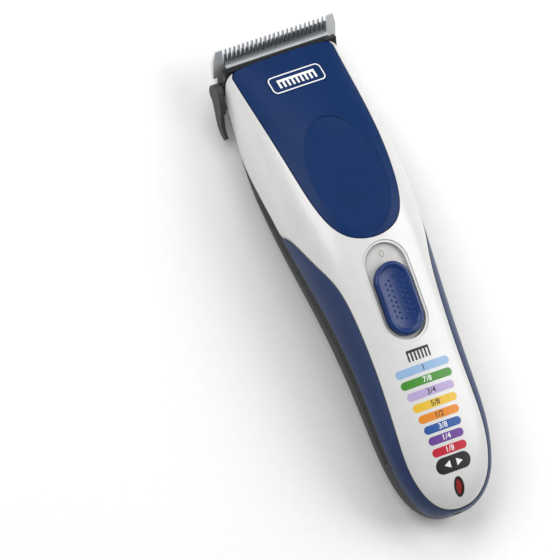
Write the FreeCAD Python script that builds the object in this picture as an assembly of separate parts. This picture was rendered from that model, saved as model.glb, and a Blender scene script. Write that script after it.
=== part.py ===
"""Cordless hair clipper, lying on its back: +Z is the front (thumb) face, +Y the blade end.

Everything is in millimetres.  The origin is under the middle of the clipper, on the
surface it lies on.  Each piece is written to parts/NAME.step.
"""
import FreeCAD
import Part
import math
import os
from FreeCAD import Vector

os.makedirs("parts", exist_ok=True)

# ---- driving dimensions ----------------------------------------------------------
wall = 2.4                # housing wall
joint_gap = 0.3           # groove between neighbouring cover pieces
panel_depth = 3.8         # thickness of the blue front panel
panel_bed = 1.2           # shell left under the panel

blade_width = 46.0
ear_half = 24.5           # the two wide outer teeth stand out past the plate
ear_back = -11.0
blade_angle = 48.0        # blade plane against the housing's long axis
blade_tip_y = 90.67
blade_tip_z = 20.5
tooth_count = 23          # teeth between the two wide outer ones
tooth_length = 5.5
ear_width = 3.3
plate_thick = 1.5
cutter_back = 1.7         # cutter tips behind the fixed tips, lever down
cutter_width = 40.6
cutter_rear = 12.5        # back edge of the cutter behind the fixed tips
cutter_thick = 1.55
bar_front = -6.0          # bright bar across the cutter
bar_back = -6.9
cutter_stroke = 1.2       # each way
slide_gap = 0.05          # between plates that slide on each other

lever_swing = 28.0        # degrees
lever_pivot = (-15.0, 4.7)   # along and above the blade plane
crank_radius = 2.3
crank_pin = 0.7
taper_travel = 2 * crank_radius * math.sin(math.radians(lever_swing / 2))

motor_radius = 10.2
motor_flat = 15.4
motor_length = 31.0
motor_y = 26.0
motor_z = 15.0
cam_y = 61.0

cell_radius = 7.25
cell_length = 50.5
cell_y = -66.5
cell_z = 12.85

switch_y = -14.9          # middle of the button, switched off
switch_half_length = 13.2
switch_radius = 6.9
track_y = -12.0
track_half_length = 17.5
track_radius = 8.0
board_z = 20.5
board_thick = 1.6
badge_y = 71.3
badge_half = (11.0, 3.7)
led_y = -82.4
# housing screws: plan position, height where the two bosses meet, thread length above that
screw_places = [(10.2, -72.5, 16.5, 5.0), (-10.2, -72.5, 16.5, 5.0),
                (15.5, 60.5, 12.8, 6.0), (-15.5, 60.5, 12.8, 6.0)]
socket_radius = 1.8
socket_depth = 9.0
socket_z = 12.2

# y, half width, rear z, z of the widest line, front z, squareness of the front
stations = [
    (-90.0, 4.5, 8.6, 12.0, 15.8, 2.0),
    (-88.7, 8.3, 5.6, 12.6, 18.4, 2.1),
    (-86.2, 11.8, 3.3, 13.6, 20.7, 2.2),
    (-81.5, 15.4, 1.2, 15.2, 23.6, 2.3),
    (-74.0, 18.2, -0.3, 17.0, 26.4, 2.4),
    (-64.0, 20.0, -0.2, 19.0, 29.2, 2.4),
    (-48.0, 20.8, 1.2, 20.0, 31.9, 2.4),
    (-30.0, 21.4, 2.0, 20.4, 34.2, 2.4),
    (-10.0, 22.7, 1.5, 20.2, 36.6, 2.4),
    (10.0, 24.6, 0.3, 19.0, 38.0, 2.4),
    (28.0, 25.9, -0.4, 17.6, 37.6, 2.4),
    (42.0, 26.1, 0.3, 16.0, 35.4, 2.5),
    (54.0, 25.2, 1.8, 14.8, 31.8, 2.7),
    (64.0, 24.0, 3.3, 14.2, 28.0, 2.9),
    (74.0, 23.0, 4.9, 14.0, 23.8, 3.1),
    (86.0, 22.4, 6.6, 14.0, 18.2, 3.2),
]
tail_start = -64.0        # behind this the inset also moves the sections forward

seam_points = [(-95, 10.4), (-89, 11.2), (-82, 15.0), (-75, 17.4), (-66, 19.8), (-56, 21.4),
               (-44, 22.6), (-28, 23.3), (-10, 22.6), (6, 20.9), (22, 19.2), (37, 16.6),
               (50, 12.4), (60, 9.4), (70, 8.2), (90, 8.0)]
mouth_points = [(84.6, 30), (83.6, 22), (80.6, 18.6), (76.4, 15.2), (73.2, 11), (71.4, 6.5), (70.6, 0)]
panel_half = [(0, 8.3), (5.2, 9.1), (9.4, 11.2), (12.9, 15.3), (15.5, 22), (17.3, 32),
              (18.5, 45), (19.3, 60), (20.0, 78), (20.4, 92)]
panel_corner = (17.0, 78.6)
panel_radius = 3.1
tongue_half = [(0, -89.0), (5.6, -87.9), (11.0, -83.4), (14.4, -76.4), (16.0, -68), (16.2, -58),
               (15.9, -45), (15.9, -32), (16.4, -20), (17.3, -10), (18.9, -2), (21.2, 5),
               (23.2, 12), (24.8, 19), (26.6, 26)]
pocket_centre_y = 32.5
pocket_half = (13.8, 22.3)
pocket_dip = 2.5


# ---- small builders --------------------------------------------------------------
def write(name, *solids):
    """One STEP file per piece; several solids make one node."""
    found = []
    for shape in solids:
        found += [solid for solid in shape.Solids if solid.Volume > 0.5]
    body = found[0] if len(found) == 1 else Part.makeCompound(found)
    body.exportStep("parts/%s.step" % name)
    print("%-22s solids %d  volume %.1f  valid %s" % (name, len(found), body.Volume, body.isValid()))


def box(x0, x1, y0, y1, z0, z1):
    return Part.makeBox(x1 - x0, y1 - y0, z1 - z0, Vector(x0, y0, z0))


def rod(radius, start, direction, length):
    return Part.makeCylinder(radius, length, Vector(*start), Vector(*direction))


def spline(points):
    curve = Part.BSplineCurve()
    curve.interpolate([Vector(*p) for p in points])
    return curve.toShape()


def polygon(points):
    return Part.Wire(Part.makePolygon([Vector(*p) for p in points + points[:1]]))


def slab(points, along):
    """Solid swept straight from a flat outline."""
    return Part.Face(polygon(points)).extrude(Vector(*along))


def offset_points(points, offset):
    """Moves an open chain of plan points outwards by offset, seen from its inside."""
    moved = []
    last = len(points) - 1
    for i, (x, y) in enumerate(points):
        before, after = points[max(i - 1, 0)], points[min(i + 1, last)]
        dx, dy = after[0] - before[0], after[1] - before[1]
        if i == 0:
            dx, dy = 1.0, 0.0
        size = math.hypot(dx, dy)
        moved.append((x + offset * dy / size, y - offset * dx / size))
    return moved


def plan_prism(half, offset, top_y, z0=-5.0, z1=60.0, side=None):
    """Prism on a plan outline that is mirrored about x = 0 and closed by a straight top edge."""
    right = offset_points(half, offset)
    right[0] = (0.0, right[0][1])
    chain = [(-x, y, z0) for x, y in reversed(right[1:])] + [(x, y, z0) for x, y in right]
    curve = spline(chain)
    first, last = chain[0], chain[-1]
    reach = side if side else last[0]
    corners = [last]
    if side:
        corners += [(side, last[1], z0), (side, top_y, z0), (-side, top_y, z0), (-side, last[1], z0)]
    elif top_y > last[1]:
        corners += [(reach, top_y, z0), (-reach, top_y, z0)]
    corners.append(first)
    edges = [curve]
    for a, b in zip(corners[:-1], corners[1:]):
        edges.append(Part.makeLine(Vector(*a), Vector(*b)))
    return Part.Face(Part.Wire(edges)).extrude(Vector(0, 0, z1 - z0))


def side_prism(points, far, half_x=45.0):
    """Prism along X on a side-view curve that is closed round the far corners."""
    curve = spline([(-half_x, y, z) for y, z in points])
    chain = [points[-1]] + far + [points[0]]
    edges = [curve]
    for a, b in zip(chain[:-1], chain[1:]):
        edges.append(Part.makeLine(Vector(-half_x, *a), Vector(-half_x, *b)))
    return Part.Face(Part.Wire(edges)).extrude(Vector(2 * half_x, 0, 0))


# ---- housing form ----------------------------------------------------------------
def section(station, inset):
    """Closed curve across the housing: two half super-ellipses that meet at the widest line."""
    y, half, rear, widest, front, square = station
    forward = max(0.0, min(1.0, (tail_start - y) / (tail_start + 90.0)))
    up = front - widest
    down = widest - rear
    half -= inset * min(1.0, half / 12.0)
    up -= inset * min(1.0, up / 9.0)
    down -= inset * min(1.0, down / 9.0)
    points = []
    for i in range(24):
        angle = i * math.pi / 12
        c, s = math.cos(angle), math.sin(angle)
        power = 2.0 / (square if s > 0 else 2.5)
        height = up if s > 0 else down
        x = half * math.copysign(abs(c) ** power, c) if abs(c) > 1e-9 else 0.0
        z = widest + height * math.copysign(abs(s) ** power, s) if abs(s) > 1e-9 else widest
        points.append(Vector(x, y + inset * forward, z))
    curve = Part.BSplineCurve()
    curve.interpolate(Points=points, PeriodicFlag=True)
    return Part.Wire([curve.toShape()])


def housing_form(inset):
    return Part.makeLoft([section(s, inset) for s in stations], True, False)


outer = housing_form(0.0).cut(box(-40, 40, -100, 100, -5, 0))
cavity = housing_form(wall)
panel_floor = housing_form(panel_depth)
bed_floor = housing_form(panel_depth + panel_bed)
groove_floor = housing_form(0.5)

above_seam = side_prism(seam_points, [(90, 60), (-95, 60)])
behind_mouth = side_prism(mouth_points, [(-100, -5), (-100, 60), (84.6, 60)])
housing = outer.common(behind_mouth)


def front_height(x, y):
    """Height of the housing's front surface at a plan point."""
    probe = Part.makeLine(Vector(x, y, 14), Vector(x, y, 60))
    return outer.common(probe).BoundBox.ZMax


# ---- housing covers --------------------------------------------------------------
tongue = plan_prism(tongue_half, 0.0, 95, side=45)
tongue_clear = plan_prism(tongue_half, joint_gap, 95, side=45)


def round_corners(prism, radius):
    """Takes the panel's two corners beside the blade off to a radius, in plan."""
    for side in (-1, 1):
        x0, x1 = sorted((side * panel_corner[0], side * 30))
        corner = box(x0, x1, panel_corner[1], 96, 0, 61)
        corner = corner.cut(rod(radius, (side * panel_corner[0], panel_corner[1], -1), (0, 0, 1), 70))
        prism = prism.cut(corner)
    return prism


panel_prism = round_corners(plan_prism(panel_half, 0.0, 95, z0=14), panel_radius)
panel_recess = round_corners(plan_prism(panel_half, joint_gap, 95, z0=14), panel_radius + joint_gap)
bed_prism = plan_prism(panel_half, 1.1, 95, z0=14)

shell = housing.cut(cavity).fuse(housing.cut(bed_floor).common(bed_prism))
upper = shell.common(above_seam)


def finger_dish():
    """Waste above the hollow of the finger rest: an ellipse in plan, hollow in both directions."""
    half_x, half_y = pocket_half
    prism = Part.Face(Part.Wire([Part.Ellipse(Vector(0, pocket_centre_y + half_y, 20),
                                              Vector(half_x, pocket_centre_y, 20),
                                              Vector(0, pocket_centre_y, 20)).toShape()]))
    prism = prism.extrude(Vector(0, 0, 40))
    arcs = []
    reach = half_x + 2.0
    count = 9
    for i in range(count):
        share = -1.08 + 2.16 * i / (count - 1)
        y = pocket_centre_y + share * half_y
        chord = math.sqrt(max(0.0, 1 - min(1.0, share * share)))
        edge_x = max(half_x * chord, 1.0)
        edge = front_height(edge_x, y) - 0.15
        middle = front_height(0, y) - 0.15 - pocket_dip * max(0.0, 1 - share * share)
        rise = (edge - middle) / edge_x ** 2
        ends = [Vector(x, y, middle + rise * x * x) for x in (-reach, -reach / 2, 0, reach / 2, reach)]
        curve = Part.BSplineCurve()
        curve.interpolate(ends)
        arcs.append(Part.Wire([curve.toShape(),
                               Part.makeLine(ends[-1], Vector(reach, y, 70)),
                               Part.makeLine(Vector(reach, y, 70), Vector(-reach, y, 70)),
                               Part.makeLine(Vector(-reach, y, 70), ends[0])]))
    return prism.common(Part.makeLoft(arcs, True, False))


panel = housing.cut(panel_floor).common(panel_prism).cut(finger_dish())

front_shell = upper.common(tongue)
front_shell = front_shell.cut(panel_recess.cut(panel_floor))
grip_band = upper.cut(tongue_clear)
rear_shell = shell.cut(above_seam)


# ---- openings and bosses in the covers -------------------------------------------
def stadium(y, half_length, radius, z0=-5.0, z1=60.0):
    """Upright prism with round ends, long way along Y."""
    straight = half_length - radius
    body = box(-radius, radius, y - straight, y + straight, z0, z1)
    for end in (y - straight, y + straight):
        body = body.fuse(rod(radius, (0, end, z0), (0, 0, 1), z1 - z0))
    return body.removeSplitter()


def oval(y, half_x, half_y):
    """Upright elliptical prism."""
    rim = Part.Ellipse(Vector(0, y + half_y, 0), Vector(half_x, y, 0), Vector(0, y, 0))
    prism = Part.Face(Part.Wire([rim.toShape()])).extrude(Vector(0, 0, 45))
    return prism.translated(Vector(0, 0, 15))


def rounded_box(half_x, half_y, y, radius):
    """Upright rounded-rectangle prism."""
    body = box(-half_x, half_x, y - half_y, y + half_y, 12, 72)
    uprights = [e for e in body.Edges if abs(e.BoundBox.ZLength - 60) < 1e-6]
    return body.makeFillet(radius, uprights)


def layer(top, bottom):
    """The skin of the housing form between two depths."""
    return housing_form(top).cut(housing_form(bottom))


track_hole = stadium(track_y, track_half_length, track_radius, 15)
track_lip = stadium(track_y, track_half_length + 0.9, track_radius + 0.9, 15)
led_hole = oval(led_y, 1.9, 3.4)
socket_axis = (0, -91, socket_z)
socket_hole = rod(3.42, socket_axis, (0, 1, 0), 13)
lip_cut = track_lip.cut(housing_form(0.45))

front_shell = front_shell.cut(track_hole).cut(lip_cut).cut(led_hole)
badge_recess = rounded_box(badge_half[0], badge_half[1], badge_y, 2.0)
badge = badge_recess.common(layer(-0.12, 0.7))
panel = panel.cut(badge_recess.cut(housing_form(0.7)))

boss_room = housing_form(wall - 0.7).cut(bed_prism.cut(housing_form(panel_depth + 0.7)))
for x, y, split, thread in screw_places:
    front_boss = rod(2.6, (x, y, split), (0, 0, 1), 40).common(boss_room)
    rear_boss = rod(3.0, (x, y, -5), (0, 0, 1), split + 5).common(boss_room)
    front_shell = front_shell.fuse(front_boss).cut(rod(1.28, (x, y, split - 1), (0, 0, 1), thread + 1.5))
    rear_shell = rear_shell.fuse(rear_boss).cut(rod(1.6, (x, y, -5), (0, 0, 1), split + 6))
    rear_shell = rear_shell.cut(rod(2.9, (x, y, -5), (0, 0, 1), 5 + split - 5.0))

for x, y in ((6.5, -36), (-6.5, -36), (6.5, -60), (-6.5, -60), (8.0, 9.0), (-8.0, 9.0)):
    peg = rod(1.4, (x, y, board_z + board_thick), (0, 0, 1), 40).common(boss_room)
    front_shell = front_shell.fuse(peg)

front_shell = front_shell.cut(socket_hole)
grip_band = grip_band.cut(socket_hole)
rear_shell = rear_shell.cut(socket_hole)


def grip_grooves():
    """Three fine lines along each side of the rear cover, where the fingers hold it."""
    cuts = None
    for drop in (1.3, 2.5, 3.7):
        low = [(y, z - drop - 0.45) for y, z in seam_points[4:12]]
        high = [(y, z - drop) for y, z in seam_points[4:12]]
        edges = [spline([(-45, y, z) for y, z in low]), spline([(-45, y, z) for y, z in high])]
        for a, b in ((low[0], high[0]), (low[-1], high[-1])):
            edges.append(Part.makeLine(Vector(-45, *a), Vector(-45, *b)))
        wire = Part.Wire(Part.__sortEdges__(edges))
        ribbon = Part.Face(wire).extrude(Vector(90, 0, 0)).cut(groove_floor)
        cuts = ribbon if cuts is None else cuts.fuse(ribbon)
    return cuts


rear_shell = rear_shell.cut(grip_grooves())
for name, shape in (("front_shell", front_shell), ("front_panel", panel), ("grip_band", grip_band),
                    ("rear_shell", rear_shell), ("badge_plate", badge)):
    write(name, shape)

# ---- switch ----------------------------------------------------------------------
track = stadium(track_y, track_half_length - 0.08, track_radius - 0.08, 15).common(layer(1.9, 3.4))
track = track.cut(stadium(track_y + 1.0, 9.0, 2.1, 15))
write("switch_track", track)

button = stadium(switch_y, switch_half_length, switch_radius, 15).common(layer(-1.2, 1.3))
pad_hollow = stadium(switch_y, switch_half_length - 2.2, switch_radius - 2.0, 15)
pad_hollow = pad_hollow.common(rod(14.0, (0, -60, 49.4), (0, 1, 0.1028), 100))
stem = box(-1.6, 1.6, switch_y - 3.2, switch_y + 3.2, 24.3, 45).common(housing_form(0.9))
button = button.cut(pad_hollow).fuse(stem)
write("switch_button", button)

case = box(-4.4, 4.4, -23.5, 1.0, board_z + board_thick, 27.4)
case = case.cut(box(-2.2, 2.2, -21.5, -1.0, board_z + board_thick + 1.2, 30))
write("slide_switch", case)

# ---- charge light and socket -----------------------------------------------------
write("led_bezel", oval(led_y, 1.86, 3.36).cut(oval(led_y, 1.25, 2.6)).common(layer(-0.1, 2.6)))
write("led_lens", oval(led_y, 1.22, 2.57).common(layer(0.15, 3.0)))

socket = rod(3.4, (0, -90, socket_z), (0, 1, 0), 11.5)
socket = socket.cut(rod(socket_radius, (0, -90, socket_z), (0, 1, 0), socket_depth))
write("charge_socket", socket)
tags = [box(x - 0.9, x + 0.9, -78.5, -74.5, socket_z - 0.2, socket_z + 0.2) for x in (-1.8, 1.8)]
write("socket_tags", *tags)

# ---- battery and circuit ---------------------------------------------------------
cells = []
straps = []
for x in (-7.35, 7.35):
    forward = 1 if x > 0 else -1
    cell = rod(cell_radius, (x, cell_y, cell_z), (0, 1, 0), cell_length - 1.0)
    start = cell_y + cell_length - 1.0 if forward > 0 else cell_y
    nub = rod(2.75, (x, start, cell_z), (0, forward, 0), 1.0)
    cells.append(cell.fuse(nub))
write("battery_cells", *cells)
front_y = cell_y + cell_length
straps.append(box(-10.5, 10.5, cell_y - 1.4, cell_y - 1.05, cell_z - 2.5, cell_z + 2.5))
straps.append(box(4.5, 10.5, front_y + 0.05, front_y + 0.4, cell_z - 2.5, board_z))
straps.append(box(-10.5, -4.5, front_y + 0.05, front_y + 0.4, cell_z - 2.5, board_z))
write("battery_straps", *straps)
cradle = box(-16.5, 16.5, -58, -24, 0, 9.0).common(cavity)
for x in (-7.35, 7.35):
    cradle = cradle.cut(rod(cell_radius + 0.05, (x, -70, cell_z), (0, 1, 0), 60))
write("battery_cradle", cradle)

board = box(-11.5, 11.5, -64, 12, board_z, board_z + board_thick)
board = board.fuse(box(-7.0, 7.0, -76, -64, board_z, board_z + board_thick)).removeSplitter()
write("circuit_board", board)
chips = [box(-3.0, 3.0, -50, -44, 22.1, 23.5), box(3.5, 6.5, -31, -27.5, 22.1, 23.3),
         rod(2.6, (8.2, -44, 22.1), (0, 0, 1), 3.4), box(-9.5, -6.0, -53, -49, 22.1, 24.0)]
write("board_parts", *chips)
write("indicator_led", box(-1.5, 1.5, -75.6, -74.0, 22.1, 23.0))

# ---- motor -----------------------------------------------------------------------
def flatted(radius, flat, y0, y1):
    """Round motor outline with flats above and below."""
    half = flat / 2
    body = rod(radius, (0, y0, motor_z), (0, 1, 0), y1 - y0)
    return body.common(box(-30, 30, y0, y1, motor_z - half, motor_z + half))


motor_end = motor_y + motor_length
can = flatted(motor_radius, motor_flat, motor_y + 3, motor_end)
can = can.cut(flatted(motor_radius - 1, motor_flat - 2, motor_y, motor_end - 1.2))
can = can.fuse(rod(3.0, (0, motor_end, motor_z), (0, 1, 0), 1.6))
can = can.cut(rod(1.05, (0, motor_y, motor_z), (0, 1, 0), 60))
write("motor_can", can)
cap = flatted(motor_radius, motor_flat, motor_y, motor_y + 3)
cap = cap.cut(rod(1.05, (0, motor_y + 1.4, motor_z), (0, 1, 0), 5))
write("motor_end_cap", cap)
ring = flatted(motor_radius - 1.02, motor_flat - 2.04, motor_y + 8, motor_end - 5)
ring = ring.cut(rod(6.3, (0, motor_y, motor_z), (0, 1, 0), 60))
write("motor_magnets", *ring.cut(box(-3.5, 3.5, 0, 90, 0, 40)).Solids)
shaft = rod(1.0, (0, motor_y + 1.6, motor_z), (0, 1, 0), cam_y + 4.0 - motor_y - 1.6)
write("motor_shaft", shaft)
core = rod(5.9, (0, motor_y + 9, motor_z), (0, 1, 0), 16)
for i in range(3):
    angle = math.radians(90 + 120 * i)
    core = core.cut(rod(1.9, (4.6 * math.cos(angle), 0, motor_z + 4.6 * math.sin(angle)), (0, 1, 0), 90))
write("armature", core.cut(shaft))
write("commutator", rod(2.4, (0, motor_y + 4.2, motor_z), (0, 1, 0), 4.0).cut(shaft))
cam = rod(3.6, (0, cam_y, motor_z), (0, 1, 0), 4.0).cut(shaft)
cam = cam.fuse(rod(1.0, (0, cam_y + 4, motor_z + cutter_stroke), (0, 1, 0), 9.0))
write("drive_cam", cam.cut(shaft))
mount = box(-13.5, 13.5, 31, 54, 0, motor_z).common(cavity)
mount = mount.cut(flatted(motor_radius + 0.02, motor_flat + 0.04, 0, 90))
write("motor_mount", mount)
plate = box(-9.5, 9.5, motor_end + 0.05, motor_end + 1.2, motor_z - 6.8, motor_z + 6.8)
plate = plate.cut(rod(3.05, (0, 0, motor_z), (0, 1, 0), 90))
bolts = []
for x in (-6.5, 6.5):
    plate = plate.cut(rod(1.05, (x, 0, motor_z), (0, 1, 0), 90))
    bolts.append(rod(1.9, (x, motor_end + 1.2, motor_z), (0, 1, 0), 1.1).fuse(
        rod(1.0, (x, motor_end, motor_z), (0, 1, 0), 1.2)))
write("motor_bracket", plate)
write("bracket_screws", *bolts)

# ---- housing screws --------------------------------------------------------------
screws = []
for x, y, split, thread in screw_places:
    head_z = split - 5.0
    body = rod(2.6, (x, y, head_z - 1.9), (0, 0, 1), 1.9)
    body = body.fuse(rod(1.25, (x, y, head_z), (0, 0, 1), thread + 5.0))
    for turn in (0, 90):
        slot = box(-1.5, 1.5, -0.3, 0.3, head_z - 2.0, head_z - 1.0)
        slot.rotate(Vector(0, 0, 0), Vector(0, 0, 1), turn)
        slot.translate(Vector(x, y, 0))
        body = body.cut(slot)
    screws.append(body)
write("housing_screws", *screws)

# ---- blade unit, drawn flat along the blade plane and then tilted ------------------
def on_blade(shape):
    """Move a shape drawn at the blade tips, teeth along +Y, into place."""
    placed = shape.copy()
    placed.rotate(Vector(0, 0, 0), Vector(1, 0, 0), blade_angle)
    placed.translate(Vector(0, blade_tip_y, blade_tip_z))
    return placed


def comb_gaps(count, half_width, root, mouth, back, front, low, high):
    """Tapered slots that leave a row of pointed teeth, evenly spread over the width."""
    pitch = 2 * half_width / count
    cuts = []
    for i in range(count):
        x = -half_width + pitch * (i + 0.5)
        wedge = [(x - root / 2, back, low), (x + root / 2, back, low),
                 (x + mouth / 2, front, low), (x - mouth / 2, front, low)]
        cuts.append(slab(wedge, (0, 0, high - low)))
    return Part.makeCompound(cuts)


base_half = 22.3
cutter_room = cutter_width / 2 + cutter_stroke + 0.2
base_gap = 0.35
bridge_low = 3.95         # underside of the side bridges over the cutter
half_blade = blade_width / 2
comb_half = ear_half - ear_width
fixed = box(-half_blade, half_blade, -19, 0, 0, plate_thick)
fixed = fixed.fuse(box(-ear_half, ear_half, ear_back, 0, 0, plate_thick)).removeSplitter()
fixed = fixed.cut(comb_gaps(tooth_count + 1, comb_half, 0.5, 1.2, -tooth_length, 0.3, -1, 3))
bevel = [(-30, -5.2, -0.2), (-30, -5.2, 0), (-30, 0.2, 0.94), (-30, 0.2, -0.2)]
fixed = fixed.cut(slab(bevel, (60, 0, 0)))
for side in (-1, 1):
    corner = [(side * 26, 1, -1), (side * 26, -4, -1), (side * ear_half, -4, -1), (side * 23.3, 1, -1)]
    fixed = fixed.cut(slab(corner, (0, 0, 4)))
    corner = [(side * 24, -20, -1), (side * 24, -16, -1), (side * 23, -16, -1), (side * 20, -20, -1)]
    fixed = fixed.cut(slab(corner, (0, 0, 4)))
    for shift in (-0.1, taper_travel + 0.1):
        fixed = fixed.cut(rod(1.55, (side * 11, -15 + shift, -1), (0, 0, 1), 4))
    fixed = fixed.cut(box(side * 11 - 1.55, side * 11 + 1.55, -15.1, -14.9 + taper_travel, -1, 3))
write("fixed_blade", on_blade(fixed))

cutter_low = plate_thick + slide_gap
cutter_top = cutter_low + cutter_thick
half_cutter = cutter_width / 2
cutter = box(-half_cutter, half_cutter, -cutter_rear, -cutter_back, cutter_low, cutter_low + 0.8)
cutter = cutter.fuse(box(-half_cutter, half_cutter, -cutter_rear, bar_back, cutter_low, cutter_top))
cutter = cutter.removeSplitter()
cutter = cutter.cut(comb_gaps(23, half_cutter - 0.4, 0.5, 1.25, -4.6, -cutter_back + 0.2, 1, 4))
write("cutter_blade", on_blade(cutter))
bar = box(-half_cutter, half_cutter, bar_back, bar_front, cutter_low + 0.8, cutter_top + 0.65)
long_edges = [e for e in bar.Edges if e.BoundBox.XLength > 30 and e.BoundBox.ZMin > cutter_top + 0.6]
write("cutter_bar", on_blade(bar.makeFillet(0.25, long_edges)))

fork = box(-5.2, 5.2, 70.6, 80.6, motor_z - 2.1, motor_z + 0.9)
fork = fork.cut(box(-3.5, 3.5, 60, 77.2, 0, 40))
above_cutter = on_blade(box(-30, 30, -30, 10, cutter_top, 40))
yoke = fork.common(above_cutter).fuse(on_blade(box(-5.5, 5.5, -12.2, -8.8, cutter_top, cutter_top + 1.1)))
write("cutter_yoke", yoke.removeSplitter())

base = side_prism([(y + base_gap, z) for y, z in mouth_points], [(96, 0), (96, 30)])
base = base.common(box(-base_half, base_half, 60, 96, -5, 40))
base = base.cut(on_blade(box(-30, 30, -20.3, 60, -40, plate_thick + slide_gap)))
heel = on_blade(Part.makeCompound([Part.Vertex(0, -21.3, 0)])).Vertexes[0].Point
under = [(60, -10), (60, 6.2), (71.4, 6.2), (72.2, 5.2), (74.0, 4.6), (heel.y, heel.z),
         (99, heel.z), (99, -10)]
base = base.cut(slab([(-30, y, z) for y, z in under], (60, 0, 0)))
base = base.cut(on_blade(box(-30, 30, -13.6, 60, -10, bridge_low)))
base = base.cut(on_blade(box(-cutter_room, cutter_room, -13.6, 20, plate_thick - 1, cutter_top + 1.15)))
base = base.cut(on_blade(box(-30, 30, -6.6, 60, -10, 60)))
crest = [(-30, 72, 24.2), (-30, 76, 22.4), (-30, 80, 20.4), (-30, 86, 17.4), (-30, 90, 40), (-30, 72, 40)]
base = base.cut(slab(crest, (60, 0, 0)))
base = base.cut(box(-7.5, 7.5, 60, 82.4, motor_z - 2.6, 18.4))
pivot_z = lever_pivot[1]
base = base.cut(on_blade(box(-20.2, -17.0, -18.2, -12.6, plate_thick, 20)))
base = base.cut(on_blade(rod(1.55, (-30, lever_pivot[0], pivot_z), (1, 0, 0), 10)))
for x in (-13.5, 13.5):
    base = base.fuse(box(x - 1.6, x + 1.6, 66.5, 75.5, 9.4, 11.2))
for x in (-11, 11):
    base = base.cut(on_blade(rod(1.5, (x, -15, 0), (0, 0, 1), 5.2)))
write("blade_base", base)

blade_screws = []
for x in (-11, 11):
    body = rod(2.9, (x, -15, -1.45), (0, 0, 1), 1.4).fuse(rod(1.42, (x, -15, -0.1), (0, 0, 1), 5.0))
    body = body.cut(box(x - 3, x + 3, -15.35, -14.65, -2, -0.75))
    blade_screws.append(on_blade(body))
write("blade_screws", *blade_screws)

wire = 0.4
springs = []
for side in (-1, 1):
    level = cutter_top + slide_gap + wire
    left = min(side * 8.6, side * 15.6)
    bow = rod(wire, (left - wire, -11.4, level), (1, 0, 0), 7.0 + 2 * wire)
    for x in (side * 8.6, side * 15.6):
        bow = bow.fuse(rod(wire, (x, -13.55, level), (0, 1, 0), 2.2))
    springs.append(on_blade(bow))
write("blade_springs", *springs)

# ---- taper lever -----------------------------------------------------------------
half_swing = math.radians(lever_swing / 2)
pin_y = lever_pivot[0] + crank_radius * math.sin(half_swing)
pin_z = lever_pivot[1] - crank_radius * math.cos(half_swing)
link = box(-18.9, -17.6, pin_y - 1.9, pin_y + 1.9, plate_thick, pin_z + 1.0)
link = link.cut(box(-19, -17.5, pin_y - crank_pin - 0.06, pin_y + crank_pin + 0.06, plate_thick + 0.1, 9))
write("taper_link", on_blade(link))

crank = rod(1.5, (-24.0, lever_pivot[0], pivot_z), (1, 0, 0), 4.95)
web = box(-20.05, -19.05, -0.85, 0.85, -crank_radius, 0)
web.rotate(Vector(0, 0, 0), Vector(1, 0, 0), lever_swing / 2)
web.translate(Vector(0, lever_pivot[0], pivot_z))
crank = crank.fuse(web).fuse(rod(0.85, (-20.05, pin_y, pin_z), (1, 0, 0), 1.0))
crank = on_blade(crank.fuse(rod(crank_pin, (-20.05, pin_y, pin_z), (1, 0, 0), 2.4)))
hub = on_blade(Part.makeCompound([Part.Vertex(0, lever_pivot[0], pivot_z)])).Vertexes[0].Point
arm_top = [(hub.y + 1.1, hub.z + 3.0), (hub.y - 6, hub.z + 0.4), (66.0, 8.2), (61.6, 6.9)]
arm_low = [(61.6, 5.7), (66.5, 5.0), (hub.y - 4, hub.z - 4.5), (hub.y + 1.4, hub.z - 3.1)]
sides = [spline([(-26.2, y, z) for y, z in arm_top]), spline([(-26.2, y, z) for y, z in arm_low])]
for a, b in ((arm_top[-1], arm_low[0]), (arm_low[-1], arm_top[0])):
    sides.append(Part.makeLine(Vector(-26.2, *a), Vector(-26.2, *b)))
arm = Part.Face(Part.Wire(Part.__sortEdges__(sides))).extrude(Vector(2.2, 0, 0))
arm = arm.cut(box(-24.75, -20, 50, 69.5, -10, 40))
lever = arm.fuse(rod(3.4, (-26.2, hub.y, hub.z), (1, 0, 0), 2.4)).fuse(crank)
write("taper_lever", lever)
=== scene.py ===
import math
import bmesh
import bpy
import numpy
from mathutils import Matrix, Vector
from mathutils.bvhtree import BVHTree


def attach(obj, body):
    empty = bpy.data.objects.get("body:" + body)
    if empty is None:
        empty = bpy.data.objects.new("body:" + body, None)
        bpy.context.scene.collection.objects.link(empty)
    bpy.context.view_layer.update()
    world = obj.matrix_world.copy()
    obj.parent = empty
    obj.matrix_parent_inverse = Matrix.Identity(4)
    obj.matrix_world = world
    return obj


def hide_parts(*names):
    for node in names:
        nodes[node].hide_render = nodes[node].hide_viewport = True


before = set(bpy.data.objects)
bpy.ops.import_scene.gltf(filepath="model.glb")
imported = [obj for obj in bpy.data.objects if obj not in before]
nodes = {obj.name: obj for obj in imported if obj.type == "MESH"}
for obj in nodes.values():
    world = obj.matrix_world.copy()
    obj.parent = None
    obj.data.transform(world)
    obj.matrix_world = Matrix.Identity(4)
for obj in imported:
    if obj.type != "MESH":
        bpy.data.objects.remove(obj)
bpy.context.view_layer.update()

mm = 0.001  # everything is modelled in metres, sizes below are in millimetres
print("frame loaded,", len(nodes), "parts")

# camera: over the switch side, leaning towards the lever, blade up
view = {"aim": (-31.05, 7.2, 17.0), "distance": 3000.0, "lens": 554.6,
        "right": (0.873, -0.374, 0.317), "up": (0.301, 0.920, 0.247), "back": (-0.384, -0.120, 0.915)}


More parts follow.
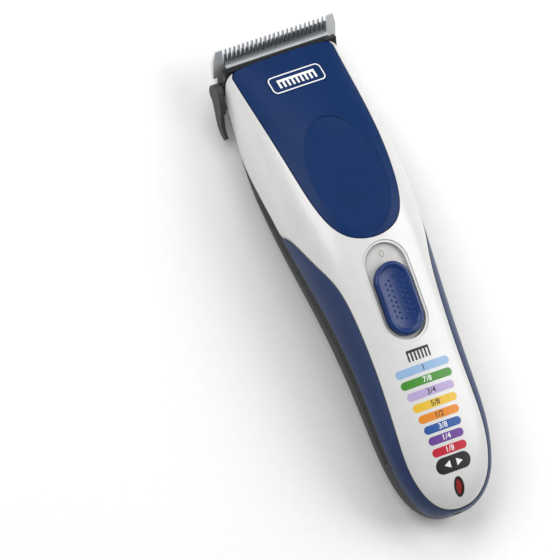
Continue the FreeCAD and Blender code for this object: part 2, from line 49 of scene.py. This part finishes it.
def placeCamera():
    back = Vector(view["back"]).normalized()
    right = Vector(view["up"]).cross(back).normalized()
    up = back.cross(right)
    spot = (Vector(view["aim"]) + back * view["distance"]) * mm
    data = bpy.data.cameras.new("camera")
    data.lens = view["lens"]
    data.clip_start = 0.05
    camera = bpy.data.objects.new("camera", data)
    axes = Matrix((right, up, back)).transposed().to_4x4()
    camera.matrix_world = Matrix.Translation(spot) @ axes
    bpy.context.scene.collection.objects.link(camera)
    bpy.context.scene.camera = camera


placeCamera()
print("camera placed")


# small helpers for materials
def linearColour(hexText):
    channels = [int(hexText[i:i + 2], 16) / 255 for i in (1, 3, 5)]
    return tuple(c / 12.92 if c <= 0.04045 else ((c + 0.055) / 1.055) ** 2.4 for c in channels) + (1.0,)


def perMetre(sizeMm):
    # texture scale whose features are about sizeMm across
    return 1000.0 / sizeMm


def addNode(tree, kind, settings=None, **sockets):
    # a socket is given by its name, or by _ and its number where several share one name
    node = tree.nodes.new(kind)
    for name, value in (settings or {}).items():
        setattr(node, name, value)
    for name, value in sockets.items():
        socket = node.inputs[int(name[1:])] if name[1:].isdigit() else node.inputs[name.replace("_", " ")]
        if isinstance(value, bpy.types.NodeSocket):
            tree.links.new(value, socket)
        else:
            socket.default_value = value
    return node


def startMaterial(name, **shaderValues):
    material = bpy.data.materials.new(name)
    material.use_nodes = True
    tree = material.node_tree
    shader = tree.nodes["Principled BSDF"]
    for socket, value in shaderValues.items():
        shader.inputs[socket.replace("_", " ")].default_value = value
    place = addNode(tree, "ShaderNodeTexCoord").outputs["Object"]
    return material, tree, shader, place


def dressSurface(tree, shader, factor, dark, light, height, depthMm, edgeMm):
    # two close colours by factor, and a relief over a softened edge so no moulded corner looks knife sharp
    mix = addNode(tree, "ShaderNodeMix", {"data_type": "RGBA"}, _0=factor, _6=linearColour(dark),
                  _7=linearColour(light))
    tree.links.new(mix.outputs[2], shader.inputs["Base Color"])
    edge = addNode(tree, "ShaderNodeBevel", {"samples": 6}, Radius=edgeMm * mm)
    bump = addNode(tree, "ShaderNodeBump", None, Strength=1.0, Distance=depthMm * mm, Height=height,
                   Normal=edge.outputs[0])
    tree.links.new(bump.outputs[0], shader.inputs["Normal"])


# materials
def pearlAbs():
    # ABS moulded with mica: a soft white with a faint grain of brighter flakes under a clear skin
    look = {"white": "#D8D8D6", "shade": "#CDCECD", "flake": 0.22, "cloud": 6.0, "edge": 0.3}
    material, tree, shader, place = startMaterial(
        "pearl ABS moulded", Roughness=0.34, IOR=1.52, Coat_Weight=0.35, Coat_Roughness=0.12)
    cloud = addNode(tree, "ShaderNodeTexNoise", None, Vector=place, Scale=perMetre(look["cloud"]), Detail=3.0)
    flake = addNode(tree, "ShaderNodeTexVoronoi", None, Vector=place, Scale=perMetre(look["flake"]))
    bright = addNode(tree, "ShaderNodeMapRange", None, Value=flake.outputs["Distance"],
                     _1=0.1, _2=0.7, _3=1.0, _4=0.0)
    both = addNode(tree, "ShaderNodeMath", {"operation": "MULTIPLY_ADD"}, _0=bright.outputs[0], _1=0.5,
                   _2=cloud.outputs[0])
    skin = addNode(tree, "ShaderNodeTexNoise", None, Vector=place, Scale=perMetre(0.5), Detail=2.0)
    dressSurface(tree, shader, both.outputs[0], look["shade"], look["white"], skin.outputs[0], 0.006, look["edge"])
    return material


def navyAbs(name, colour, deep, roughness, specular, edge=0.25):
    # ABS from a spark-eroded mould: satin navy, its fine grain breaks up the highlights
    material, tree, shader, place = startMaterial(
        name, Roughness=roughness, IOR=1.5, Specular_IOR_Level=specular)
    cloud = addNode(tree, "ShaderNodeTexNoise", None, Vector=place, Scale=perMetre(9.0), Detail=4.0)
    grain = addNode(tree, "ShaderNodeTexNoise", None, Vector=place, Scale=perMetre(0.35), Detail=3.0, Roughness=0.6)
    both = addNode(tree, "ShaderNodeMath", {"operation": "MULTIPLY_ADD"}, _0=grain.outputs[0], _1=0.5,
                   _2=cloud.outputs[0])
    sheen = addNode(tree, "ShaderNodeMapRange", None, Value=grain.outputs[0], _1=0.3, _2=0.7,
                    _3=roughness - 0.05, _4=roughness + 0.07)
    tree.links.new(sheen.outputs[0], shader.inputs["Roughness"])
    dressSurface(tree, shader, both.outputs[0], deep, colour, grain.outputs[0], 0.02, edge)
    return material


def softElastomer():
    # TPE overmoulded grip: matt blue with a powdery sheen at grazing angles
    material, tree, shader, place = startMaterial(
        "TPE overmoulded", Roughness=0.58, IOR=1.5, Sheen_Weight=0.25, Sheen_Roughness=0.4)
    cloud = addNode(tree, "ShaderNodeTexNoise", None, Vector=place, Scale=perMetre(12.0), Detail=4.0)
    grain = addNode(tree, "ShaderNodeTexNoise", None, Vector=place, Scale=perMetre(0.3), Detail=3.0)
    dressSurface(tree, shader, cloud.outputs[0], "#102A55", "#15305E", grain.outputs[0], 0.02, 0.3)
    return material


def blackAbs(name, dark, light, roughness, grainMm=0.4, reliefMm=0.03):
    # ABS with a leather-fine moulded grain: charcoal black that never mirrors a lamp
    material, tree, shader, place = startMaterial(name, Roughness=roughness, IOR=1.52)
    grain = addNode(tree, "ShaderNodeTexVoronoi", {"feature": "SMOOTH_F1"}, Vector=place, Scale=perMetre(grainMm))
    dust = addNode(tree, "ShaderNodeTexNoise", None, Vector=place, Scale=perMetre(7.0), Detail=5.0)
    dressSurface(tree, shader, dust.outputs[0], dark, light, grain.outputs["Distance"], reliefMm, 0.25)
    return material


def groundSteel(name, light, dark, roughness, metallic, scratchMm=0.12, tilt=48.0):
    # carbon steel ground flat: straight fine scratches across the plate, brighter on the edges
    material, tree, shader, place = startMaterial(name, Metallic=metallic, Roughness=roughness)
    flat = addNode(tree, "ShaderNodeMapping", None, Vector=place, Rotation=(math.radians(-tilt), 0, 0),
                   Scale=(perMetre(9.0), perMetre(scratchMm), perMetre(scratchMm)))
    scratch = addNode(tree, "ShaderNodeTexNoise", None, Vector=flat.outputs[0], Scale=1.0, Detail=3.0)
    satin = addNode(tree, "ShaderNodeMapRange", None, Value=scratch.outputs[0], _1=0.3, _2=0.7,
                    _3=roughness - 0.08, _4=roughness + 0.1)
    tree.links.new(satin.outputs[0], shader.inputs["Roughness"])
    dressSurface(tree, shader, scratch.outputs[0], dark, light, scratch.outputs[0], 0.004, 0.1)
    return material


def platedMetal(name, light, dark, roughness, grainMm=0.6):
    # plated or drawn metal: even colour with a slightly cloudy gloss
    material, tree, shader, place = startMaterial(name, Metallic=1.0, Roughness=roughness)
    cloud = addNode(tree, "ShaderNodeTexNoise", None, Vector=place, Scale=perMetre(grainMm), Detail=4.0)
    gloss = addNode(tree, "ShaderNodeMapRange", None, Value=cloud.outputs[0], _1=0.3, _2=0.7,
                    _3=roughness - 0.06, _4=roughness + 0.08)
    tree.links.new(gloss.outputs[0], shader.inputs["Roughness"])
    dressSurface(tree, shader, cloud.outputs[0], dark, light, cloud.outputs[0], 0.003, 0.15)
    return material


def plainPlastic(name, light, dark, roughness, grainMm=0.5, **extra):
    # small moulded part: one colour with a light mottling and a fine skin
    material, tree, shader, place = startMaterial(name, Roughness=roughness, IOR=1.5, **extra)
    cloud = addNode(tree, "ShaderNodeTexNoise", None, Vector=place, Scale=perMetre(3.0), Detail=3.0)
    skin = addNode(tree, "ShaderNodeTexNoise", None, Vector=place, Scale=perMetre(grainMm), Detail=2.0)
    dressSurface(tree, shader, cloud.outputs[0], dark, light, skin.outputs[0], 0.008, 0.2)
    return material


def padInk(name, colour, deep):
    # pad-printed ink: flat colour, faintly uneven where the pad lifted
    material, tree, shader, place = startMaterial("printed ink " + name, Roughness=0.42, IOR=1.5)
    blot = addNode(tree, "ShaderNodeTexNoise", None, Vector=place, Scale=perMetre(1.2), Detail=4.0)
    dressSurface(tree, shader, blot.outputs[0], deep, colour, blot.outputs[0], 0.004, 0.03)
    return material


finishes = {
    "pearl": pearlAbs(),
    "panel": navyAbs("ABS spark eroded navy", "#0C2C5C", "#0A2650", 0.38, 0.13),
    "button": navyAbs("ABS moulded navy", "#0D2F68", "#0A2658", 0.26, 0.4, edge=0.1),
    "band": softElastomer(),
    "black": blackAbs("ABS grained black", "#17181A", "#212225", 0.55),
    "blackSmooth": blackAbs("POM moulded black", "#0D0D0E", "#151516", 0.35, reliefMm=0.006),
    # the lever is black nylon; its charcoal tone, lighter than the other black parts, is a painted sheen standing
    # in for its broad highlight
    "lever": blackAbs("nylon moulded black painted sheen", "#2A2B2C", "#343536", 0.5),
    "track": plainPlastic("ABS moulded grey", "#C4C3C1", "#B2B1AF", 0.5),
    "lens": plainPlastic("polycarbonate tinted red", "#C8160E", "#8E0B08", 0.08, Coat_Weight=1.0,
                         Transmission_Weight=0.35),
    # near white and only partly metallic, so the blade steel looks bright from any side: the steel's own grey plus
    # a painted reflection laid into its colour
    "blade": groundSteel("carbon steel ground", "#E6E8EA", "#CFD2D5", 0.38, 0.7),
    "cutter": groundSteel("carbon steel lapped", "#8A8D91", "#6F7377", 0.38, 0.85),
    "screw": platedMetal("steel zinc plated", "#C6C8CA", "#A9ABAD", 0.3),
    "spring": platedMetal("steel wire drawn", "#B5B6B8", "#97989A", 0.35),
    "can": platedMetal("steel sheet plated", "#BFC1C3", "#A2A4A6", 0.33, grainMm=2.0),
    "brass": platedMetal("brass tinned", "#D9D0B4", "#BDB291", 0.3),
    "copper": platedMetal("copper enamelled", "#C2703B", "#8E4A24", 0.35, grainMm=0.4),
    "magnet": platedMetal("ferrite sintered", "#3A3A3C", "#29292B", 0.6),
    "cell": plainPlastic("PVC shrink sleeve", "#3E8A4D", "#2F6F3D", 0.3),
    "board": plainPlastic("glass epoxy solder mask", "#1D6A37", "#14512A", 0.35),
    "chip": plainPlastic("epoxy moulded black", "#1D1D1F", "#262628", 0.5),
}

partFinish = {
    "front_shell": "pearl", "front_panel": "panel", "badge_plate": "panel", "grip_band": "band",
    "rear_shell": "black", "switch_track": "track", "switch_button": "button", "slide_switch": "blackSmooth",
    "led_bezel": "blackSmooth", "led_lens": "lens", "charge_socket": "blackSmooth", "socket_tags": "brass",
    "battery_cells": "cell", "battery_straps": "brass", "battery_cradle": "blackSmooth",
    "circuit_board": "board", "board_parts": "chip", "indicator_led": "lens", "motor_can": "can",
    "motor_end_cap": "track", "motor_magnets": "magnet", "motor_shaft": "screw", "armature": "copper",
    "commutator": "brass", "drive_cam": "track", "motor_mount": "blackSmooth", "motor_bracket": "can",
    "bracket_screws": "screw", "housing_screws": "screw", "fixed_blade": "blade", "cutter_blade": "cutter",
    # the cutter bar takes the bright blade steel, not the darker cutter steel: a painted highlight along the
    # cutter's upper edge
    "cutter_bar": "blade", "cutter_yoke": "blackSmooth", "blade_base": "blackSmooth", "blade_screws": "screw",
    "blade_springs": "spring", "taper_link": "blade", "taper_lever": "lever",
}


def paint(piece, finish):
    piece.data.materials.clear()
    piece.data.materials.append(finishes[finish] if isinstance(finish, str) else finish)


for partName, finish in partFinish.items():
    paint(nodes[partName], finish)
print("materials made,", len(finishes), "finishes")


# laying thin prints on the covers
def surfaceOf(*names):
    points, faces = [], []
    for name in names:
        mesh = nodes[name].data
        start = len(points)
        points += [v.co.copy() for v in mesh.vertices]
        faces += [[start + i for i in p.vertices] for p in mesh.polygons]
    return BVHTree.FromPolygons(points, faces)


def heightAbove(surface, x, y):
    startHeight = 60  # clear of the whole clipper
    hit = surface.ray_cast(Vector((x * mm, y * mm, startHeight * mm)), Vector((0, 0, -1)))
    return hit[0].z / mm if hit[0] else None


def layPrint(name, points, faces, surface, finish, slotName, body="housing", lift=0.05, thick=0.09):
    # points are plan positions in mm; the print follows the cover below it
    mesh = bpy.data.meshes.new(name)
    placed = []
    for x, y in points:
        z = heightAbove(surface, x, y)
        placed.append((x * mm, y * mm, ((z if z is not None else 0) + lift) * mm))
    mesh.from_pydata(placed, [], faces)
    work = bmesh.new()
    work.from_mesh(mesh)
    bmesh.ops.remove_doubles(work, verts=work.verts, dist=1e-7)
    bmesh.ops.recalc_face_normals(work, faces=work.faces)
    if sum(f.normal.z for f in work.faces) < 0:
        bmesh.ops.reverse_faces(work, faces=work.faces)
    work.to_mesh(mesh)
    work.free()
    piece = bpy.data.objects.new(name, mesh)
    bpy.context.scene.collection.objects.link(piece)
    film = piece.modifiers.new("film", "SOLIDIFY")
    film.thickness = thick * mm
    film.offset = -1
    paint(piece, finish)
    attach(piece, body)
    return piece


def stadiumPatch(y0, halfLength, halfHeight, columns=48, rows=6):
    points, faces = [], []
    for i in range(columns + 1):
        x = -halfLength * math.cos(math.pi * i / columns)
        inside = max(abs(x) - (halfLength - halfHeight), 0)
        h = math.sqrt(max(halfHeight ** 2 - inside ** 2, 0))
        points += [(x, y0 + h * (2 * j / rows - 1)) for j in range(rows + 1)]
    for i in range(columns):
        for j in range(rows):
            a = i * (rows + 1) + j
            faces.append((a, a + rows + 1, a + rows + 2, a + 1))
    return points, faces


def ringPatch(outline, inner):
    count = len(outline)
    faces = [(i, (i + 1) % count, count + (i + 1) % count, count + i) for i in range(count)]
    return list(outline) + list(inner), faces


def roundedOutline(x0, y0, halfX, halfY, radius, perCorner=10):
    points = []
    for quarter, (sx, sy) in enumerate(((1, 1), (-1, 1), (-1, -1), (1, -1))):
        cx, cy = x0 + sx * (halfX - radius), y0 + sy * (halfY - radius)
        for k in range(perCorner + 1):
            angle = math.pi / 2 * (quarter + k / perCorner)
            points.append((cx + radius * math.cos(angle), cy + radius * math.sin(angle)))
    spaced = []
    for a, b in zip(points, points[1:] + points[:1]):
        steps = max(round(math.dist(a, b) / 0.8), 1)  # long sides need points to follow the crown
        spaced += [(a[0] + (b[0] - a[0]) * k / steps, a[1] + (b[1] - a[1]) * k / steps) for k in range(steps)]
    return spaced


def textPatch(words, size, x0, y0, heavy=0.0):
    curve = bpy.data.curves.new("figures", "FONT")
    curve.body = words
    curve.size = size
    curve.align_x = "CENTER"
    curve.align_y = "CENTER"
    curve.resolution_u = 3
    curve.offset = heavy
    holder = bpy.data.objects.new("figures", curve)
    mesh = bpy.data.meshes.new_from_object(holder)
    work = bmesh.new()
    work.from_mesh(mesh)
    bmesh.ops.remove_doubles(work, verts=work.verts, dist=1e-4)
    bmesh.ops.triangulate(work, faces=work.faces)
    points = [(v.co.x + x0, v.co.y + y0) for v in work.verts]
    work.verts.index_update()
    faces = [[v.index for v in f.verts] for f in work.faces]
    work.free()
    bpy.data.objects.remove(holder)
    bpy.data.curves.remove(curve)
    bpy.data.meshes.remove(mesh)
    return points, faces


def barPatch(x0, x1, y0, y1, columns=4, rows=2):
    points = [(x0 + (x1 - x0) * i / columns, y0 + (y1 - y0) * j / rows)
              for i in range(columns + 1) for j in range(rows + 1)]
    faces = []
    for i in range(columns):
        for j in range(rows):
            a = i * (rows + 1) + j
            faces.append((a, a + rows + 1, a + rows + 2, a + 1))
    return points, faces


def combPatch(y, columns, half, spine, teeth, toothHalf, count):
    # a comb seen flat: a spine across the top and a row of teeth under it
    patches = [barPatch(-half, half, y + spine[0], y + spine[1], columns=columns)]
    reach = half - toothHalf
    for x in numpy.linspace(-reach, reach, count):
        patches.append(barPatch(x - toothHalf, x + toothHalf, y + teeth[0], y + teeth[1]))
    return joinPatches(patches)


def joinPatches(patches):
    points, faces = [], []
    for morePoints, moreFaces in patches:
        faces += [[i + len(points) for i in f] for f in moreFaces]
        points += morePoints
    return points, faces


shellTop = surfaceOf("front_shell")
whiteInk = padInk("white", "#F4F4F2", "#E6E6E4")
blackInk = padInk("black", "#141414", "#1E1E1E")

# colour key: one bar for each guide comb, longest comb at the top
colourKey = {
    "height": 1.45, "textSize": 2.8,
    "bars": [  # y, half length, colour, deeper colour, figures, ink
        (-40.0, 10.6, "#93B4D6", "#88A9CC", "1", "black"),
        (-44.2, 10.1, "#43902A", "#387D22", "7/8", "white"),
        (-48.5, 9.3, "#B8A6D0", "#AA98C4", "3/4", "black"),
        (-52.8, 8.7, "#E6BE33", "#D8AE26", "5/8", "black"),
        (-57.0, 8.0, "#E48A18", "#D47C10", "1/2", "black"),
        (-61.1, 7.3, "#1C57A4", "#164A8E", "3/8", "white"),
        (-65.1, 6.9, "#6C3D98", "#5E3286", "1/4", "white"),
        (-69.3, 6.8, "#C81432", "#B00C28", "1/8", "white"),
    ],
    "ink": {"lift": 0.09, "thick": 0.06, "heavy": 0.02},  # figures and arrowheads lie on top of the bars
    "tagY": -74.3, "tagHalf": (6.8, 2.8),
    "arrow": (1.2, 3.6, 1.3),  # where it starts and ends, half height
    "comb": {"half": 4.4, "spine": (-33.9, -33.0), "teeth": (-37.0, -33.8), "toothHalf": 0.32, "count": 7},
}


def makeColourKey():
    names = ("sky", "green", "lilac", "yellow", "orange", "blue", "purple", "red")
    over = colourKey["ink"]
    for (y, half, colour, deep, figures, ink), name in zip(colourKey["bars"], names):
        patch = stadiumPatch(y, half, colourKey["height"])
        layPrint("key_bar_" + name, *patch, shellTop, padInk(name, colour, deep), "pearl_shell")
        marks = textPatch(figures, colourKey["textSize"], 0.0, y, over["heavy"])
        layPrint("key_size_" + name, *marks, shellTop, blackInk if ink == "black" else whiteInk,
                 "pearl_shell", lift=over["lift"], thick=over["thick"])
    y, (halfX, halfY) = colourKey["tagY"], colourKey["tagHalf"]
    layPrint("key_tag_black", *stadiumPatch(y, halfX, halfY), shellTop, blackInk, "pearl_shell")
    # two arrowheads, left and right, in place of words
    start, end, halfTall = colourKey["arrow"]
    arrows = []
    for side in (-1, 1):
        corners = [(side * start, y - halfTall), (side * start, y + halfTall), (side * end, y)]
        arrows.append((corners, [(0, 1, 2)]))
    layPrint("key_tag_arrows", *joinPatches(arrows), shellTop, whiteInk, "pearl_shell",
             lift=over["lift"], thick=over["thick"])
    # a small comb stands over the key as its heading
    comb = combPatch(0.0, 12, **colourKey["comb"])
    layPrint("key_heading", *comb, shellTop, blackInk, "pearl_shell")


makeColourKey()
print("colour key laid on")

# badge: a white outline and a plain comb mark on the blue plate
badge = {"y": 71.3, "half": (10.4, 3.35), "line": 0.42, "radius": 1.8,
         "comb": {"half": 7.4, "spine": (0.7, 1.6), "teeth": (-1.7, 0.75), "toothHalf": 0.42, "count": 9}}


def makeBadge():
    plate = surfaceOf("badge_plate", "front_panel")
    y, (halfX, halfY) = badge["y"], badge["half"]
    outer = roundedOutline(0, y, halfX, halfY, badge["radius"])
    inner = roundedOutline(0, y, halfX - badge["line"], halfY - badge["line"], badge["radius"] - badge["line"])
    layPrint("badge_outline", *ringPatch(outer, inner), plate, whiteInk, "badge_enamel")
    layPrint("badge_mark", *combPatch(y, 16, **badge["comb"]), plate, whiteInk, "badge_enamel")


makeBadge()
print("badge printed")

# switch: thumb button with a raised rim and a dimpled hollow pad
button = {
    "y": -14.9, "halfLength": 13.2, "radius": 6.9, "scoop": 0.75, "trackDepth": 1.9,
    "dimple": 0.4, "dimpleDepth": 0.34, "pitch": 1.95, "columns": (1.7, 3.3), "longestColumn": 8, "endDimple": 7.6,
    # distance in from the edge, height over the housing; the first rows are the side wall
    "profile": [(0.0, -1.25), (0.0, -0.4), (0.0, 0.45), (0.06, 0.78), (0.24, 1.02), (0.5, 1.17), (0.85, 1.25),
                (1.2, 1.24), (1.5, 1.12), (1.75, 0.93), (1.95, 0.82), (2.1, 0.8)],
    "around": 420, "step": 0.12,  # points round the edge, spacing of the rows over the pad
}


def trackCrown():
    # smooth height of the housing over the track, from the track floor below it
    track = surfaceOf("switch_track")
    rows, heights = [], []
    for x in (-6.0, -5.0, -4.0, -3.0, 3.0, 4.0, 5.0, 6.0):
        for y in numpy.linspace(-24.0, 0.0, 13):
            z = heightAbove(track, x, y)
            if z is not None:
                rows.append((1.0, y, y * y, x * x, x * x * y))
                heights.append(z + button["trackDepth"])
    fit = numpy.linalg.lstsq(numpy.array(rows), numpy.array(heights), rcond=None)[0]
    return lambda x, y: float(fit @ (1.0, y, y * y, x * x, x * x * y))


def dimplePlaces():
    places = []
    for side in (-1, 1):
        for column, x in enumerate(button["columns"]):
            count = button["longestColumn"] - column
            for k in range(count):
                y = (k - (count - 1) / 2) * button["pitch"]
                places.append((side * x, y))
    places += [(0.0, button["endDimple"]), (0.0, -button["endDimple"])]
    return places


def makeButton():
    crown = trackCrown()
    radius, count = button["radius"], button["around"]
    straight = button["halfLength"] - radius
    places = dimplePlaces()
    profile = list(button["profile"])
    padStart, padHeight = profile[-1]
    inward = padStart + button["step"]
    while inward < radius - 0.05:
        profile.append((inward, None))
        inward += button["step"]
    profile.append((radius, None))
    arc = math.pi * radius
    total = 2 * arc + 4 * straight
    points, faces = [], []
    for inset, height in profile:
        r = max(radius - inset, 0.0)
        for k in range(count):
            s = total * k / count
            if s < arc:
                angle = s / radius
                x, y = r * math.cos(angle), straight + r * math.sin(angle)
            elif s < arc + 2 * straight:
                x, y = -r, straight - (s - arc)
            elif s < 2 * arc + 2 * straight:
                angle = math.pi + (s - arc - 2 * straight) / radius
                x, y = r * math.cos(angle), -straight + r * math.sin(angle)
            else:
                x, y = r, -straight + (s - 2 * arc - 2 * straight)
            if height is None:
                across = min(abs(x) / (radius - padStart), 1)
                h = padHeight - button["scoop"] * (1 - across ** 2) * (1 - (abs(y) / button["halfLength"]) ** 4)
                for px, py in places:
                    away = math.hypot(x - px, y - py)
                    if away < button["dimple"]:
                        h -= button["dimpleDepth"] * (1 - (away / button["dimple"]) ** 2)
            else:
                h = height
            points.append((x * mm, (y + button["y"]) * mm, (crown(x, y + button["y"]) + h) * mm))
    for ring in range(len(profile) - 1):
        for k in range(count):
            a, b = ring * count + k, ring * count + (k + 1) % count
            faces.append((a, b, b + count, a + count))
    faces.append(tuple(reversed(range(count))))
    mesh = bpy.data.meshes.new("thumb_button")
    mesh.from_pydata(points, [], faces)
    work = bmesh.new()
    work.from_mesh(mesh)
    bmesh.ops.remove_doubles(work, verts=work.verts, dist=2e-6)
    bmesh.ops.recalc_face_normals(work, faces=work.faces)
    for face in work.faces:
        face.smooth = len(face.verts) < 5
    work.to_mesh(mesh)
    work.free()
    piece = bpy.data.objects.new("thumb_button", mesh)
    bpy.context.scene.collection.objects.link(piece)
    paint(piece, "button")
    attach(piece, "switch")
    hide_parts("switch_button")


makeButton()

# the off mark on the track floor, above the button when it is switched off
offMark = {"middle": (0.2, 2.0), "half": (0.85, 1.3), "line": 0.24, "colour": "#8C8A88", "deep": "#7C7A78"}


def makeOffMark():
    x0, y0 = offMark["middle"]
    outlines = []
    for inset in (0, offMark["line"]):
        halfX, halfY = (half - inset for half in offMark["half"])
        outlines.append([(x0 + halfX * math.cos(math.tau * k / 32), y0 + halfY * math.sin(math.tau * k / 32))
                         for k in range(32)])
    layPrint("switch_off_mark", *ringPatch(*outlines), surfaceOf("switch_track"),
             padInk("grey", offMark["colour"], offMark["deep"]), "light_grey_plastic", lift=0.03, thick=0.06)


makeOffMark()
print("switch built")


# studio
studio = {"floor": "#F8F8F7", "floorShade": "#F4F4F3", "world": 0.3,
          # name, place in mm, size in mm, watts
          "lamps": [("key", (-420, 260, 620), 520, 3.0), ("fill", (480, -60, 440), 560, 2.7),
                    ("top", (60, 460, 520), 380, 1.2)]}


def makeStudio():
    mesh = bpy.data.meshes.new("floor")
    half = 3.0
    mesh.from_pydata([(-half, -half, 0), (half, -half, 0), (half, half, 0), (-half, half, 0)], [], [(0, 1, 2, 3)])
    floor = bpy.data.objects.new("floor", mesh)
    bpy.context.scene.collection.objects.link(floor)
    paper, tree, shader, place = startMaterial("paper backdrop matt", Roughness=0.9)
    fibre = addNode(tree, "ShaderNodeTexNoise", None, Vector=place, Scale=perMetre(3.0), Detail=2.0)
    dressSurface(tree, shader, fibre.outputs[0], studio["floorShade"], studio["floor"], fibre.outputs[0], 0.01, 0.1)
    paint(floor, paper)
    world = bpy.data.worlds.new("studio")
    bpy.context.scene.world = world
    world.use_nodes = True
    world.node_tree.nodes["Background"].inputs[0].default_value = linearColour("#FFFFFF")
    world.node_tree.nodes["Background"].inputs[1].default_value = studio["world"]
    for name, place, size, watts in studio["lamps"]:
        data = bpy.data.lights.new(name, "AREA")
        data.shape = "DISK"
        data.size = size * mm
        data.energy = watts
        lamp = bpy.data.objects.new(name, data)
        spot = Vector(place) * mm
        aimed = (spot - Vector((0, 0, 0.02))).to_track_quat("Z", "Y").to_matrix().to_4x4()
        lamp.matrix_world = Matrix.Translation(spot) @ aimed
        bpy.context.scene.collection.objects.link(lamp)
    bpy.context.scene.view_settings.view_transform = "Standard"


makeStudio()
print("studio lit")
